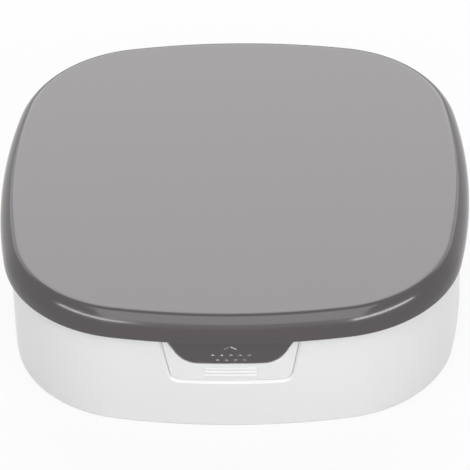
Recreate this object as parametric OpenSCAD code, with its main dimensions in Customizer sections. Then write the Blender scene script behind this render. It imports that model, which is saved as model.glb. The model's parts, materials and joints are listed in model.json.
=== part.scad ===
// Travel jewellery box: a rounded-square plastic case with a hinged lid, a press panel that
// releases the lid's front tab, a mirror in the lid and a lined tray with ring rolls.
// Millimetres. +Z is up, the front faces -Y, and the underside stands on z = 0 about the origin.

/* [Outline] */
// Width and depth of the lid, which is square
lid_w = 100; // [96:1:112]
// Radius of the lid's bowed sides
side_r = 139; // [130:1:180]
// Radius of the lid's corners
corner_r = 28.9; // [27:0.1:31]

/* [Lid] */
// Height of the lid above its rim
lid_h = 5.6; // [5.4:0.1:6.2]
// Radius of the roll between the lid's flat top and its side
roll_r = 6.7; // [6.4:0.1:7.2]
// Rounding of the edge where the flat top meets the roll
edge_r = 2; // [0.5:0.1:2.4]
// Upright part of the lid's side above its rim
skirt = 0.2; // [0.1:0.1:0.4]
// Wall of the lid's side
lid_wall = 2.4; // [2:0.1:2.6]
// Thickness of the lid's flat top
top_wall = 1.8; // [1.6:0.1:2]

/* [Base] */
// Height of the base's outer wall
base_h = 23.7; // [22.5:0.1:30]
// How far the lid overhangs the base
overhang = 1.7; // [1.2:0.1:2]
// Wall of the base
base_wall = 2.6; // [2.4:0.1:3]
// Floor of the base
floor_t = 2; // [1.6:0.1:2.6]
// Rounding of the base's lower outer edge
foot_r = 0.8; // [0.3:0.1:1.4]
// Fillet between the floor and the wall inside
floor_fillet = 2; // [1:0.1:2.4]
// Height of the lip that rises inside the lid
lip_h = 1.8; // [1:0.1:2.2]
// Thickness of that lip
lip_t = 1.2; // [0.9:0.1:1.3]
// Gap between the lid's rim and the base's ledge
lid_gap = 0.1; // [0.05:0.05:0.3]

/* [Hinge] */
// Diameter of the hinge barrel
barrel_d = 4.6; // [4:0.1:5]
// Diameter of the hinge pin
pin_d = 1.5; // [1:0.1:2]
// Radial clearance round the pin
pin_fit = 0.05; // [0.02:0.01:0.1]
// Length of the whole hinge
hinge_len = 44; // [40:1:46]
// Length of each of the lid's two knuckles
lid_knuckle = 7.75; // [6:0.25:9]
// Length of the base's middle knuckle
mid_knuckle = 16; // [12:1:18]
// Gap between knuckles
knuckle_gap = 0.25; // [0.2:0.05:0.5]
// Gap between the barrel and the base's back wall
barrel_gap = 0.25; // [0.2:0.05:0.5]
// Gap between the barrel and the lid's rim above it
barrel_drop = 0.6; // [0.4:0.1:1]
// Angle to which the lid opens
open_angle = 105; // [95:1:115]
// How far each knuckle's heel reaches from the pin
heel_reach = 2.6; // [2:0.1:3.5]
// Gap left between the heel and the wall when open
heel_gap = 0.15; // [0.1:0.05:0.4]

/* [Tab] */
// Half of the tab's width at its lower edge
tab_half = 9.5; // [8:0.1:9.8]
// How far the tab hangs below the lid's rim
tab_drop = 6.7; // [5.8:0.1:6.8]
// Lean of the tab's sides from upright, in degrees
tab_lean = 31; // [24:1:33]
// Rounding of the tab's lower corners
tab_corner = 4.9; // [2:0.1:5.4]
// Thickness of the tab
tab_t = 1.55; // [1.4:0.05:1.7]
// Step from the overhang's back to the tab's face
tab_step = 0.05; // [0:0.05:0.3]
// How far the catch stands out behind the tab
catch_out = 0.8; // [0.5:0.1:1]

/* [Press panel] */
// Half of the panel opening's width at its lower edge
panel_half = 12.4; // [12:0.1:12.8]
// How far the panel opening reaches below the lid's rim
panel_drop = 11.6; // [10.8:0.1:12]
// Lean of the panel's sides from upright, in degrees
panel_lean = 10; // [9:1:12]
// Rounding of the panel's lower corners
panel_corner = 2.3; // [1:0.1:3]
// Gap round the panel in its opening
panel_gap = 0.2; // [0.15:0.05:0.4]
// How far the panel's face is set back from the wall
panel_set = 0.3; // [0:0.05:0.6]
// Thickness of the flange behind the wall
flange_t = 1.4; // [1.2:0.1:1.6]
// Half of the flange's width
flange_half = 15.6; // [15.2:0.1:16.4]
// Travel of the press panel
press_travel = 1.6; // [1.3:0.1:1.8]
// How far the hook reaches under the catch
hook_bite = 0.7; // [0.4:0.1:0.9]
// Running gap round the hook, catch and flange
latch_gap = 0.15; // [0.1:0.05:0.3]

/* [Springs] */
// Outer diameter of each return spring
spring_d = 4.2; // [3.8:0.1:4.6]
// Diameter of the spring wire
wire_d = 0.4; // [0.35:0.05:0.5]
// Turns of each spring
spring_turns = 4; // [3:0.5:4]
// Distance of each spring from the centre
spring_x = 8; // [7:0.5:9]
// Length of each spring at rest
spring_len = 4.7; // [4.5:0.1:6]

/* [Latch cover] */
// Wall of the latch cover
cover_t = 1.4; // [1.2:0.1:1.6]
// Distance of each screw outside the latch cover's side
screw_out = 3; // [2.8:0.1:4]
// Distance of the screws behind the front wall's inner face
screw_set = 4.5; // [4.3:0.1:5]
// Outer diameter of the screw bosses
boss_d = 5; // [4.6:0.1:5]
// Height of the screw bosses above the floor
boss_h = 12; // [10:0.5:14]
// Diameter of the screws
screw_d = 1.9; // [1.6:0.1:2.2]
// Diameter of the screw heads
head_d = 3.6; // [3.2:0.1:3.8]
// Height of the screw heads
head_h = 1.3; // [1:0.1:1.6]
// Length of the screws below their heads
screw_len = 6.5; // [5:0.5:8]

/* [Tray] */
// Height of the tray
tray_h = 19.5; // [17:0.5:20]
// Wall of the tray
tray_wall = 1.4; // [1.2:0.1:1.6]
// Floor of the tray
tray_floor = 1.2; // [1:0.1:1.6]
// Gap between the tray and the base's wall
tray_gap = 0.4; // [0.3:0.1:0.6]
// Centre line of the wall between the tray's bays
partition_y = 4.2; // [2:0.2:5]
// Thickness of that wall
partition_t = 1.6; // [1.2:0.1:2]
// Height of that wall and of the dividers above the tray's floor
partition_h = 15; // [12:0.5:16]
// Distance of each divider from the centre
divider_x = 15.5; // [13:0.5:16]
// Thickness of the dividers
divider_t = 1.5; // [1:0.1:1.8]
// Gap on each side of a divider in its slot
slot_gap = 0.1; // [0.05:0.05:0.2]
// Width and depth of the ribs that make a slot
slot_rib = 1.2; // [0.8:0.1:1.4]
// Thickness of the lining pads
lining_t = 1.5; // [1:0.1:2]
// Gap round the lining pads
lining_gap = 0.3; // [0.2:0.1:0.5]

/* [Ring rolls] */
// Thickness of the board under the ring rolls
bed_t = 1.2; // [0.8:0.1:1.6]
// Room between the last ring roll and the tray's back wall
roll_back = 2.8; // [2:0.1:4]
// Height of the ring rolls above the board
roll_h = 10; // [9:0.1:10.4]
// Gap between ring rolls
roll_gap = 0.2; // [0.15:0.05:0.3]

/* [Mirror] */
// Inset of the mirror's edge from the lid's outline
mirror_inset = 11.8; // [11.4:0.1:14]
// Thickness of the mirror
mirror_t = 1.8; // [1.4:0.1:2]
// Thickness of the adhesive pad behind the mirror
pad_t = 0.4; // [0.3:0.1:0.6]
// Inset of the mirror frame's outer edge from the lid's outline
frame_inset = 7.4; // [7:0.1:8]
// Wall of the mirror frame
frame_t = 1.2; // [1:0.1:1.3]
// Thickness of the frame's lip below the mirror
frame_lip = 0.8; // [0.6:0.1:1]
// How far that lip covers the mirror's edge
mirror_cover = 1.4; // [0.8:0.1:2]

/* [Hidden] */
$fn = 96;

// Cutting tools run past what they cut by this much, and joined pieces overlap by it
over = 1;
sink = 0.1;

// The outline has four side arcs and four corner arcs that meet in line
half = lid_w / 2;
bow = side_r - half;
corner_c = (sqrt(2 * pow(side_r - corner_r, 2) - pow(bow, 2)) - bow) / 2;
side_a = atan(corner_c / (bow + corner_c));
corner_steps = 16;
side_steps = 8;
round_steps = 3;
roll_steps = 5;
edge_steps = 4;

// Heights of the lid
rim_z = base_h + lid_gap;
top_z = rim_z + lid_h;
ceil_z = top_z - top_wall;
ceil_edge_r = 1;

// Insets of the base
inner = overhang + base_wall;
lip_in = inner - lip_t;
lip_z = base_h + lip_h;

// Hinge
barrel_r = barrel_d / 2;
bore_r = pin_d / 2 + pin_fit;
axis_y = half - overhang + barrel_gap + barrel_r;
axis_z = rim_z - barrel_drop - barrel_r;
lid_knuckle_x = mid_knuckle / 2 + knuckle_gap;
end_knuckle_x = lid_knuckle_x + lid_knuckle + knuckle_gap;
end_knuckle = hinge_len / 2 - end_knuckle_x;
pin_short = 0.2;
heel_set = axis_y - side_y(overhang, lid_knuckle_x) - heel_gap;
gusset_a = 50;
wall_root = 0.5;
web_root = 0.6;

// Tab
tab_z = rim_z - tab_drop;
tab_root = 2.6;
tab_face_r = side_r - overhang - tab_step;
tab_back_r = tab_face_r - tab_t;
catch_r = tab_back_r - catch_out;
catch_lift = 0.9;
catch_slope = 0.9;
catch_flat = 0.7;
catch_z = tab_z + catch_lift;
catch_top = catch_z + catch_slope + catch_flat;
catch_half_a = 2.6;
pocket_gap = 0.25;

// Press panel, its flange and its hook
flange_drop = 2.7;
flange_below_rim = 2.1;
flange_gap = 0.1;
panel_below_rim = 0.3;
panel_z = rim_z - panel_drop;
panel_top = rim_z - panel_below_rim;
panel_face_r = side_r - overhang - panel_set;
flange_z = panel_z - flange_drop;
flange_top = rim_z - flange_below_rim;
flange_r = side_r - inner - flange_gap;
flange_back_r = flange_r - flange_t;
flange_a = asin(flange_half / flange_r);
hook_r = catch_r + hook_bite;
hook_z = catch_top + latch_gap;
hook_h = 0.55;
hook_half_a = 2.4;

// Springs, their seats and the stop behind the panel
seat_t = 0.7;
seat_root = 0.5;
seat_d = 5.2;
seat_y = bow - flange_back_r + seat_t;
plate_y = seat_y + spring_len;
spring_drop = 1.6;
spring_z = (flange_z + flange_top) / 2 - spring_drop;
peg_len = 1.4;
peg_gap = 0.25;
peg_d = spring_d - 2 * wire_d - 2 * peg_gap;
stop_d = 5;
stop_gap = 0.2;
spring_clear = 0.03;

// Latch cover, its bosses and its screws
front_in_y = -(half - inner);
cover_gap = 0.4;
roof_gap = 0.3;
cover_half = flange_half + cover_gap + cover_t;
screw_x = cover_half + screw_out;
cover_top = flange_top + roof_gap + cover_t;
cover_front_r = flange_r - press_travel - cover_gap;
cover_back = plate_y + cover_t;
cheek_set = 1.5;
boss_y = front_in_y + screw_set;
boss_top = floor_t + boss_h;
screw_fit = 0.05;
ear_fit = 0.2;
ear_t = 1.6;
ear_side = 2.6;
ear_ahead = 2;
ear_end = screw_x + ear_side;
rib_t = 1.2;
rib_x = 10;
rib_gap = 0.2;
rib_step = 0.5;
slot_w = 0.6;
slot_depth = 0.6;

// Tray
tray_inset = inner + tray_gap;
tray_in = tray_inset + tray_wall;
tray_z = floor_t;
tray_top = tray_z + tray_h;
bay_floor = tray_z + tray_floor;
partition_top = bay_floor + partition_h;
housing_gap = 0.8;
housing_half = ear_end + housing_gap;
housing_y = cover_back + housing_gap;
tray_edge_r = floor_fillet + tray_gap;
bay_fillet = 1;
bay_front = housing_y + tray_wall;
partition_front = partition_y - partition_t / 2;
partition_back = partition_y + partition_t / 2;
scoop_r = 7;
scoop_lift = 3.5;

// Ring rolls
roll_count = 4;
roll_front = partition_back + lining_gap;
roll_room = half - tray_in - roll_back - roll_front;
roll_w = (roll_room + roll_gap) / roll_count - roll_gap;
bed_top = bay_floor + bed_t;
roll_end_r = roll_w / 2;

// Mirror
mirror_top = ceil_z - pad_t;
mirror_z = mirror_top - mirror_t;
frame_z = mirror_z - frame_lip;
mirror_gap = 0.2;
pad_set = 1;
frame_edge_r = 0.7;

// Distance of an inset outline from the centre line, at x along one of its bowed sides
function side_y(inset, x) = sqrt(pow(side_r - inset, 2) - x * x) - bow;

// Half width of an inset outline at distance y from the centre line
function outline_x(inset, y) =
    y < (side_r - inset) * sin(side_a)
    ? side_y(inset, y)
    : y < corner_c + (corner_r - inset) * cos(side_a)
    ? corner_c + sqrt(pow(corner_r - inset, 2) - pow(y - corner_c, 2))
    : sqrt(pow(side_r - inset, 2) - pow(bow + y, 2));

// Point at radius r and angle a
function polar(r, a) = [r * cos(a), r * sin(a)];

// Arc of a section, from angle a0 to a1
function arc(centre, r, a0, a1, steps) =
    [for (i = [0:steps]) centre + polar(r, a0 + (a1 - a0) * i / steps)];

// A quarter of the outline at an inset: a corner arc and the side arc that follows it
function quarter(inset) = concat(
    arc([corner_c, corner_c], corner_r - inset, side_a, 90 - side_a, corner_steps),
    [for (i = [1:side_steps - 1]) [0, -bow]
        + polar(side_r - inset, 90 - side_a + 2 * side_a * i / side_steps)]
);

// A point turned about the centre
function turned(p, a) = [p.x * cos(a) - p.y * sin(a), p.x * sin(a) + p.y * cos(a)];

// The whole outline at an inset
function outline(inset) = [for (a = [0, 90, 180, 270]) for (p = quarter(inset)) turned(p, a)];

// Outline of a plate that narrows downwards and has rounded lower corners
function funnel(half_w, lean, z0, z1, r) =
    let (
        cx = half_w - r * tan((90 - lean) / 2),
        top = half_w + (z1 - z0) * tan(lean),
        steps = 10,
        side = arc([cx, z0 + r], r, -90, -lean, steps)
    )
    concat(side, [[top, z1], [-top, z1]], [for (i = [steps:-1:0]) [-side[i].x, side[i].y]]);

// The same outline grown by a gap all round
function grown_funnel(half_w, lean, z0, z1, r, gap) =
    funnel(half_w + gap / cos(lean) - gap * tan(lean), lean, z0 - gap, z1, r + gap);

// Sweeps a section round the outline. The section's points are insets and heights, and go from the
// middle of the underside outwards, up and back to the middle of the top, or round a closed ring.
module sweep(section, ring = false) {
    n = len(outline(0));
    m = len(section);
    points = [for (s = section) each [for (p = outline(s.x)) [p.x, p.y, s.y]]];
    walls = [for (j = [0:m - (ring ? 1 : 2)]) for (i = [0:n - 1])
        let (k = (i + 1) % n, up = (j + 1) % m) [j * n + i, up * n + i, up * n + k, j * n + k]];
    ends = ring ? [] : [[for (i = [0:n - 1]) i], [for (i = [n - 1:-1:0]) (m - 1) * n + i]];
    polyhedron(points, concat(walls, ends));
}

// Solid plate inside the outline
module plate(inset, z0, z1) {
    translate([0, 0, z0]) linear_extrude(z1 - z0) polygon(outline(inset));
}

// Extrudes a shape drawn in x and z from y0 to y1
module along_y(y0, y1) {
    translate([0, y1, 0]) rotate([90, 0, 0]) linear_extrude(y1 - y0) children();
}

// Extrudes a shape drawn in y and z from x0 to x1
module along_x(x0, x1) {
    translate([x0, 0, 0]) rotate([90, 0, 90]) linear_extrude(x1 - x0) children();
}

// Bends a section, drawn as radius and height, along the front wall's arc
module along_front(half_a) {
    translate([0, bow, 0]) rotate(-90 - half_a) rotate_extrude(angle = 2 * half_a) children();
}

// Places its children on the left and on the right
module both_sides() {
    children();
    mirror([1, 0, 0]) children();
}

// Block between two corners
module block(low, high) {
    translate(low) cube(high - low);
}

// Section of the hinge barrel with its bore left solid
module barrel() {
    translate([axis_y, axis_z]) circle(barrel_r);
}

module hinge_bore() {
    along_x(-hinge_len / 2 - over, hinge_len / 2 + over) translate([axis_y, axis_z]) circle(bore_r);
}

// One knuckle of the base, with a gusset down to the back wall
module base_knuckle(x0, x1) {
    root_y = side_y(overhang, hinge_len / 2) - wall_root;
    foot = [axis_y, axis_z] + polar(barrel_r - sink, gusset_a - 90);
    along_x(x0, x1) {
        barrel();
        polygon([
            [root_y, axis_z + barrel_r - sink], [axis_y, axis_z + barrel_r - sink], foot,
            [root_y, foot.y - (foot.x - root_y) * tan(gusset_a)]
        ]);
    }
}

// One knuckle of the lid, with its web up to the rim and the heel that stops the lid
module lid_knuckle(x0, x1) {
    clear_y = axis_y - barrel_r + sink;
    back_y = axis_y + barrel_r - sink;
    root_y = half - overhang - web_root;
    web_top = rim_z + lid_h / 2;
    along_x(x0, x1) {
        barrel();
        polygon([
            [clear_y, axis_z], [back_y, axis_z], [back_y, axis_z + barrel_r / 2],
            [root_y + web_root, web_top], [root_y, web_top], [root_y, rim_z], [clear_y, rim_z]
        ]);
        translate([axis_y, axis_z]) rotate(open_angle - 90) translate([0, -heel_set])
            square([heel_reach, heel_set]);
    }
}

// Opening for the press panel in the front wall, grown by a gap
module opening_shape(gap) {
    polygon(grown_funnel(panel_half, panel_lean, panel_z, lip_z + over, panel_corner, gap));
}

// Half section of the base: foot, ledge, lip and floor
function base_section() = concat(
    arc([overhang + foot_r, foot_r], foot_r, 270, 180, round_steps),
    [[overhang, base_h], [lip_in, base_h], [lip_in, lip_z], [inner, lip_z]],
    arc([inner + floor_fillet, floor_t + floor_fillet], floor_fillet, 180, 270, round_steps)
);

module base_shell() color("whitesmoke") difference() {
    union() {
        sweep(base_section());
        both_sides() {
            block([rib_x - rib_t / 2, front_in_y - wall_root, floor_t - sink],
                [rib_x + rib_t / 2, plate_y - cover_gap, flange_z - rib_gap]);
            translate([screw_x, boss_y, floor_t - sink]) cylinder(d = boss_d, h = boss_h + sink);
            block([screw_x - rib_t / 2, front_in_y - wall_root, floor_t - sink],
                [screw_x + rib_t / 2, boss_y - screw_d / 2 - rib_step, boss_top - rib_step]);
            base_knuckle(end_knuckle_x, end_knuckle_x + end_knuckle);
        }
        base_knuckle(-mid_knuckle / 2, mid_knuckle / 2);
    }
    along_y(-half, front_in_y + over) opening_shape(0);
    both_sides() translate([screw_x, boss_y, boss_top - screw_len])
        cylinder(r = screw_d / 2 + screw_fit, h = screw_len + over);
    hinge_bore();
}

// Side of the lid from its rim up: a roll of radius r that meets the flat at height z in an edge
// rounded to radius q
function roll_line(r, z, q) =
    let (
        rise = z - q - rim_z - skirt,
        run = sqrt(pow(r - q, 2) - rise * rise),
        meet = 180 - atan2(rise, run)
    )
    concat(
        arc([roll_r, rim_z + skirt], r, 180, meet, roll_steps),
        [for (i = [1:edge_steps]) [roll_r - run, z - q] + polar(q, meet + (90 - meet) * i / edge_steps)]
    );

// Half section of the lid, from the inside of its top round the rim to the outside
function lid_section() =
    let (inside = roll_line(roll_r - lid_wall, ceil_z, ceil_edge_r))
    concat(
        [for (i = [len(inside) - 1:-1:0]) inside[i]],
        [[lid_wall, rim_z], [0, rim_z]],
        roll_line(roll_r, top_z, edge_r)
    );

// The tab seen from the front, up to its root in the lid and grown by a gap
module tab_shape(gap) {
    polygon(grown_funnel(tab_half, tab_lean, tab_z, rim_z + tab_root, tab_corner, gap));
}

// The tab, bent like the front wall, with its sloped catch behind
module tab() {
    intersection() {
        along_front(flange_a) translate([tab_back_r, tab_z - over])
            square([tab_t, tab_drop + tab_root + over]);
        along_y(-half - over, front_in_y + over) tab_shape(0);
    }
    along_front(catch_half_a) polygon([
        [tab_back_r + sink, catch_z - sink], [catch_r, catch_z + catch_slope],
        [catch_r, catch_top], [tab_back_r + sink, catch_top]
    ]);
}

module lid_shell() color("gray") difference() {
    union() {
        sweep(lid_section());
        tab();
        both_sides() lid_knuckle(lid_knuckle_x, lid_knuckle_x + lid_knuckle);
    }
    hinge_bore();
}

module hinge_pin() color("silver") {
    reach = hinge_len / 2 - pin_short;
    along_x(-reach, reach) translate([axis_y, axis_z]) circle(d = pin_d);
}

// The panel on its flange, the pocket that the tab lies in, the hook and the spring seats
module latch_button() color("white") {
    seat_root_y = seat_y - seat_t - seat_root;
    along_front(flange_a) translate([flange_back_r, flange_z]) square([flange_t, flange_top - flange_z]);
    difference() {
        intersection() {
            along_front(flange_a) translate([flange_r - sink, flange_z])
                square([panel_face_r - flange_r + sink, panel_top - flange_z]);
            along_y(-half, front_in_y + over) opening_shape(-panel_gap);
        }
        difference() {
            along_y(-half, front_in_y + over) tab_shape(pocket_gap);
            translate([0, bow, flange_z]) cylinder(r = flange_r, h = panel_top - flange_z + over);
        }
    }
    along_front(hook_half_a) polygon([
        [flange_r - sink, hook_z], [hook_r, hook_z], [hook_r, hook_z + hook_h],
        [flange_r - sink, hook_z + hook_h + hook_r - flange_r + sink]
    ]);
    both_sides() {
        along_y(seat_root_y, seat_y) translate([spring_x, spring_z]) circle(d = seat_d);
        along_y(seat_y - sink, seat_y + peg_len) translate([spring_x, spring_z]) circle(d = peg_d);
    }
    along_y(seat_root_y, plate_y - press_travel - stop_gap) translate([0, spring_z]) circle(d = stop_d);
}

// Round wire wound about the y axis, as one tube
module spring(x) {
    sides = 6;
    rings = 8 * spring_turns;
    coil_r = (spring_d - wire_d) / 2;
    run = spring_len - wire_d - 2 * spring_clear;
    centres = [for (i = [0:rings]) let (a = 360 * spring_turns * i / rings)
        [a, seat_y + spring_clear + wire_d / 2 + run * i / rings]];
    points = [for (c = centres) for (k = [0:sides - 1])
        let (s = 360 * k / sides, r = coil_r + wire_d / 2 * cos(s))
        [x + r * cos(c[0]), c[1] + wire_d / 2 * sin(s), spring_z + r * sin(c[0])]];
    walls = [for (i = [0:rings - 1]) for (k = [0:sides - 1])
        let (a = i * sides + k, b = i * sides + (k + 1) % sides)
        each [[a, b, a + sides], [b, b + sides, a + sides]]];
    ends = [for (k = [1:sides - 2]) each [[0, k + 1, k],
        [rings * sides, rings * sides + k, rings * sides + k + 1]]];
    echo(least_gap_of_spring = run / spring_turns - wire_d);
    polyhedron(points, concat(walls, ends));
}

module button_spring_left() color("silver") spring(-spring_x);

module button_spring_right() color("silver") spring(spring_x);

// A plate behind the springs with two cheeks, a roof and an ear for each screw
module latch_cover() color("lightgray") difference() {
    cheek_y = front_in_y + cheek_set;
    union() {
        block([-cover_half, plate_y, floor_t], [cover_half, cover_back, cover_top]);
        both_sides() {
            along_x(cover_half - cover_t, cover_half) polygon([
                [cheek_y, floor_t + floor_fillet], [cheek_y + floor_fillet, floor_t],
                [cover_back, floor_t], [cover_back, cover_top], [cheek_y, cover_top]
            ]);
            block([cover_half - sink, boss_y - ear_ahead, boss_top],
                [ear_end, cover_back, boss_top + ear_t]);
            along_y(plate_y - peg_len, plate_y + sink) translate([spring_x, spring_z]) circle(d = peg_d);
        }
        intersection() {
            block([-cover_half, front_in_y, cover_top - cover_t], [cover_half, cover_back, cover_top]);
            translate([0, bow, cover_top - cover_t]) cylinder(r = cover_front_r, h = cover_t);
        }
    }
    both_sides() translate([screw_x, boss_y, boss_top - over])
        cylinder(r = screw_d / 2 + ear_fit, h = ear_t + 2 * over);
}

module cover_screws() color("silver") both_sides() translate([screw_x, boss_y, boss_top + ear_t]) {
    difference() {
        cylinder(d = head_d, h = head_h);
        for (turn = [0, 90]) rotate(turn)
            block([-head_d / 3, -slot_w / 2, head_h - slot_depth],
                [head_d / 3, slot_w / 2, head_h + over]);
    }
    translate([0, 0, -screw_len]) cylinder(d = screw_d, h = screw_len + sink);
}

// A ring that holds the mirror's edge, with a groove on its upper side
module mirror_frame() color("whitesmoke") {
    pocket = mirror_inset - mirror_gap;
    cover_z = frame_z + frame_lip;
    sweep(concat(
        [[mirror_inset + mirror_cover, frame_z]],
        arc([frame_inset + frame_edge_r, frame_z + frame_edge_r], frame_edge_r, 270, 180, round_steps),
        [
            [frame_inset, ceil_z], [frame_inset + frame_t, ceil_z], [frame_inset + frame_t, cover_z],
            [pocket - frame_t, cover_z], [pocket - frame_t, ceil_z], [pocket, ceil_z],
            [pocket, cover_z], [mirror_inset + mirror_cover, cover_z]
        ]
    ), ring = true);
}

module mirror_glass() color("lightblue") plate(mirror_inset, mirror_z, mirror_top);

module mirror_pad() color("white") plate(mirror_inset + pad_set, mirror_top, ceil_z);

// Room that the latch cover and its bosses take out of the tray, grown by a wall
module housing(wall, z0, z1) {
    block([-housing_half - wall, -half, z0], [housing_half + wall, housing_y + wall, z1]);
}

// Half section of the tray: outer edge, rim and inner fillet
function tray_section() = concat(
    arc([tray_inset + tray_edge_r, tray_z + tray_edge_r], tray_edge_r, 270, 180, round_steps),
    [[tray_inset, tray_top], [tray_in, tray_top]],
    arc([tray_in + bay_fillet, bay_floor + bay_fillet], bay_fillet, 180, 270, round_steps)
);

module compartment_tray() color("dimgray") difference() {
    union() {
        sweep(tray_section());
        intersection() {
            plate(tray_inset + tray_wall / 2, tray_z, tray_top);
            union() {
                housing(tray_wall, bay_floor - sink, tray_top);
                block([-half, partition_front, bay_floor - sink], [half, partition_back, partition_top]);
            }
        }
        both_sides() for (edge = [-1, 1]) for (end = [bay_front - sink, partition_front - slot_rib])
            block([rib_at(edge) - slot_rib / 2, end, bay_floor - sink],
                [rib_at(edge) + slot_rib / 2, end + slot_rib + sink, partition_top]);
    }
    housing(0, tray_z - over, tray_top + over);
}

// Centre of the slot rib on one side of a divider
function rib_at(edge) = divider_x + edge * (divider_t / 2 + slot_gap + slot_rib / 2);

// The right-hand divider, with a finger scoop in its upper edge
module divider() {
    end_gap = 2 * slot_gap;
    difference() {
        block([divider_x - divider_t / 2, bay_front + end_gap, bay_floor],
            [divider_x + divider_t / 2, partition_front - end_gap, partition_top]);
        translate([0, (bay_front + partition_front) / 2, partition_top + scoop_lift]) rotate([0, 90, 0])
            cylinder(r = scoop_r, h = half);
    }
}

module divider_left() color("dimgray") mirror([1, 0, 0]) divider();

module divider_right() color("dimgray") divider();

// Lining pad of the right-hand compartment, cut round the latch cover's housing
module side_lining() {
    inner_x = rib_at(1) + slot_rib / 2 + lining_gap;
    difference() {
        intersection() {
            plate(tray_in + bay_fillet + lining_gap, bay_floor, bay_floor + lining_t);
            block([inner_x, -half, bay_floor - over],
                [half, partition_front - lining_gap, bay_floor + lining_t + over]);
        }
        housing(tray_wall + lining_gap, bay_floor - over, bay_floor + lining_t + over);
    }
}

module lining_left() color("darkslategray") mirror([1, 0, 0]) side_lining();

module lining_right() color("darkslategray") side_lining();

module lining_centre() color("darkslategray") {
    reach = divider_x - divider_t / 2 - slot_gap - lining_gap;
    block([-reach, bay_front + slot_rib + lining_gap, bay_floor],
        [reach, partition_front - slot_rib - lining_gap, bay_floor + lining_t]);
}

module ring_bed() color("darkslategray") intersection() {
    plate(tray_in + bay_fillet + lining_gap, bay_floor, bed_top);
    block([-half, roll_front, bay_floor - over], [half, half, bed_top + over]);
}

// One padded roll across the tray, shorter towards the back as the outline closes in
module ring_roll(index) {
    y = roll_front + roll_end_r + index * (roll_w + roll_gap);
    reach = outline_x(tray_in + lining_gap, y + roll_end_r) - roll_end_r;
    color("darkslategray") intersection() {
        along_x(-half, half) {
            translate([y, bed_top + roll_h - roll_end_r]) circle(roll_end_r);
            translate([y - roll_end_r, bed_top]) square([roll_w, roll_h - roll_end_r]);
        }
        translate([0, y, bed_top]) linear_extrude(roll_h) {
            for (x = [-reach, reach]) translate([x, 0]) circle(roll_end_r);
            square([2 * reach, roll_w], center = true);
        }
    }
}

base_shell();
lid_shell();
hinge_pin();
latch_button();
button_spring_left();
button_spring_right();
latch_cover();
cover_screws();
mirror_frame();
mirror_glass();  // mirror
mirror_pad();
compartment_tray();
divider_left();
divider_right();
lining_left();
lining_centre();
lining_right();
ring_bed();
ring_roll(0);  // ring_roll_1
ring_roll(1);  // ring_roll_2
ring_roll(2);  // ring_roll_3
ring_roll(3);  // ring_roll_4
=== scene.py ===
"""Travel jewellery box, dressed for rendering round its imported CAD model.

Lengths are in millimetres and turned to metres where a mesh or an object is made. +Z is up, the front
of the box faces -Y, and the underside stands on z = 0.
"""
import json
import math

import bmesh
import bpy
import numpy as np
from mathutils import Matrix, Vector


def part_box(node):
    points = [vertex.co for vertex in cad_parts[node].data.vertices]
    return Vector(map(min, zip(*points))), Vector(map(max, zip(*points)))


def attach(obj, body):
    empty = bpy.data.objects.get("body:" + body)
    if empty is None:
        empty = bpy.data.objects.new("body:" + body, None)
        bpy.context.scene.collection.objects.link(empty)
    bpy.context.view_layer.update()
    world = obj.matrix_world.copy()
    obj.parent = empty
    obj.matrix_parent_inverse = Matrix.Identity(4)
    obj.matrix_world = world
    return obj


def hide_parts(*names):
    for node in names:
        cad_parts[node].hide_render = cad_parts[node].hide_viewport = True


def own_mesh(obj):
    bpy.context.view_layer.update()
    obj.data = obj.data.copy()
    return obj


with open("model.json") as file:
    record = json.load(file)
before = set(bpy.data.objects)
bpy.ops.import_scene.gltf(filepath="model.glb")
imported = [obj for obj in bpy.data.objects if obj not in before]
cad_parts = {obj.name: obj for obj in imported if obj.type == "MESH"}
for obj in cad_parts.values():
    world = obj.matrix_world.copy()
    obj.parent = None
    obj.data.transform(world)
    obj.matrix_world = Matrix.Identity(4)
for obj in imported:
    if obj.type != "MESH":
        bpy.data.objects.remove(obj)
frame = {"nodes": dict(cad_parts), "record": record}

MM = 0.001
# How far a fused piece is sunk into what carries it, and how far a cutter stands out of what it cuts
SINK, OVER = 0.1, 1
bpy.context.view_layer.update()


def box_mm(node):
    """Lower and upper corner of a node's box, in millimetres."""
    return [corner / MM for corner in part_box(node)]


# Boxes of the CAD nodes, and what the joints' rows say
lid_high = box_mm("lid_shell")[1]
base_high = box_mm("base_shell")[1]
tray_low, tray_high = box_mm("compartment_tray")
cover_low = box_mm("latch_cover")[0]
button_low, button_high = box_mm("latch_button")
spring_low, spring_high = box_mm("button_spring_right")
screws_low, screws_high = box_mm("cover_screws")
pin_low, pin_high = box_mm("hinge_pin")
mirror_low, mirror_high = box_mm("mirror")
frame_low = box_mm("mirror_frame")[0]
divider_low, divider_high = box_mm("divider_right")
lining_low, lining_high = box_mm("lining_right")
centre_low, centre_high = box_mm("lining_centre")
bed_high = box_mm("ring_bed")[1]
hinge_row, press_row = frame["record"]["behaviour"]["joints"]
HINGE_Y, HINGE_Z = [v / MM for v in hinge_row["pos_m"][1:]]
OPEN_ANGLE = math.radians(hinge_row["range_deg"][1])

# Plan outline: four bowed sides and four corner arcs that meet in line
HALF = lid_high.x
SIDE_R = 139
CORNER_R = 28.9
BOW = SIDE_R - HALF
CORNER_C = (math.sqrt(2 * (SIDE_R - CORNER_R) ** 2 - BOW ** 2) - BOW) / 2
SIDE_A = math.atan(CORNER_C / (BOW + CORNER_C))
CORNER_STEPS = 26
SIDE_STEPS = 26
# How far in from its edge the section of a floor ends; one flat face closes the rest
MIDDLE = 14

# Lid. From a short skirt at the rim a roll of ROLL_R climbs to the flat top and meets it in EDGE_R
TOP = lid_high.z
RIM = 23.8
ROLL_R = 6.7
EDGE_R = 2
SKIRT = 0.2
LID_WALL = 2.4
CEILING = mirror_high.z + 0.4

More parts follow.
